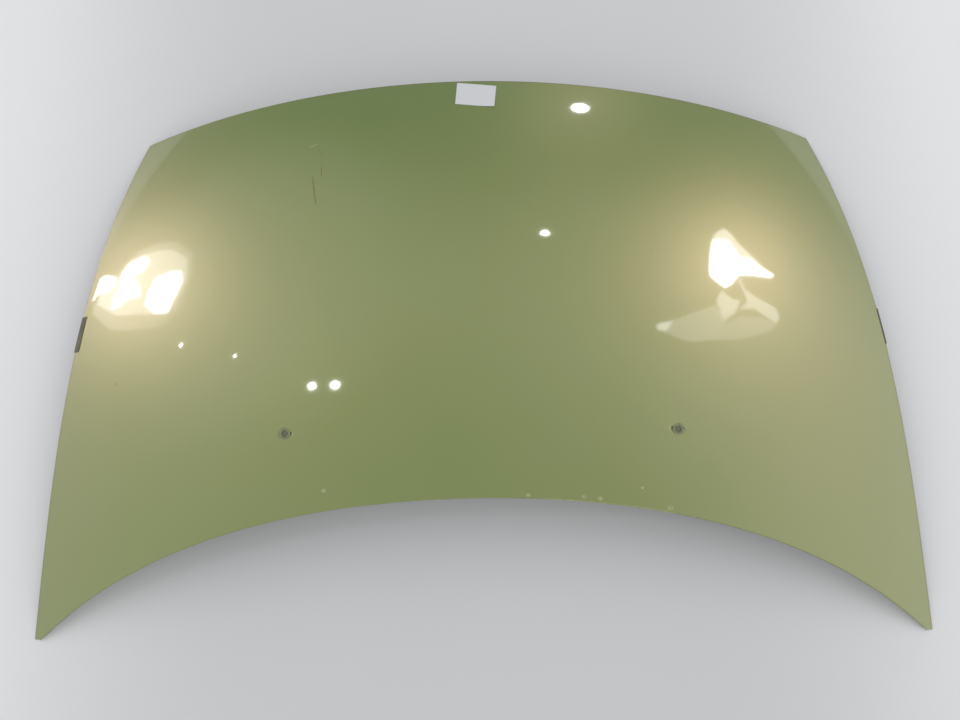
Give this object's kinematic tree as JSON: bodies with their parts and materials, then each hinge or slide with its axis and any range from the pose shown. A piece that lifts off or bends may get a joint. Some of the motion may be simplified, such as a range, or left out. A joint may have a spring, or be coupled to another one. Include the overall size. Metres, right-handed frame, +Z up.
{
  "type": "car bonnet",
  "caption": "Hinged front panel of a car: a domed, painted outer skin hemmed around a ribbed inner frame, with striker, washer jets, buffers and stops.",
  "frame": {"origin": "centre of the base: the floor under the four corners that the bonnet lies on", "axes": "+X towards the bonnet's right side seen from above with the nose ahead, +Y towards the nose, +Z up, outer side up"},
  "size_m": [1.4244, 0.9182, 0.1739],
  "materials": {
    "paint": "glossy metallic green lacquer",
    "frame_paint": "thin satin green paint",
    "steel": "zinc-plated steel",
    "rubber": "black rubber",
    "buffer_rubber": "weathered grey-olive rubber",
    "plastic": "moulded dark plastic",
    "mastic": "cured grey mastic",
    "label": "blank white paper"
  },
  "bodies": {
    "root": {"outer_skin": "paint", "inner_frame": "frame_paint", "striker_reinforcement": "steel", "striker_plate": "steel", "striker_loop": "steel", "striker_bolt_left": "steel", "striker_nut_left": "steel", "striker_bolt_right": "steel", "striker_nut_right": "steel", "hinge_reinforcement_left": "steel", "hinge_nut_left_rear": "steel", "hinge_nut_left_front": "steel", "washer_jet_left": "plastic", "jet_seal_left": "rubber", "side_buffer_left": "buffer_rubber", "bump_stop_left": "rubber", "hinge_reinforcement_right": "steel", "hinge_nut_right_rear": "steel", "hinge_nut_right_front": "steel", "washer_jet_right": "plastic", "jet_seal_right": "rubber", "side_buffer_right": "buffer_rubber", "bump_stop_right": "rubber", "prop_socket": "plastic", "frame_plug_1": "plastic", "frame_plug_2": "plastic", "frame_plug_3": "plastic", "frame_plug_4": "plastic", "mastic_pad_1": "mastic", "mastic_pad_2": "mastic", "mastic_pad_3": "mastic", "mastic_pad_4": "mastic", "mastic_pad_5": "mastic", "mastic_pad_6": "mastic", "mastic_pad_7": "mastic", "mastic_pad_8": "mastic", "mastic_pad_9": "mastic", "mastic_pad_10": "mastic", "mastic_pad_11": "mastic", "mastic_pad_12": "mastic", "mastic_pad_13": "mastic", "mastic_pad_14": "mastic"}
  },
  "joints": []
}
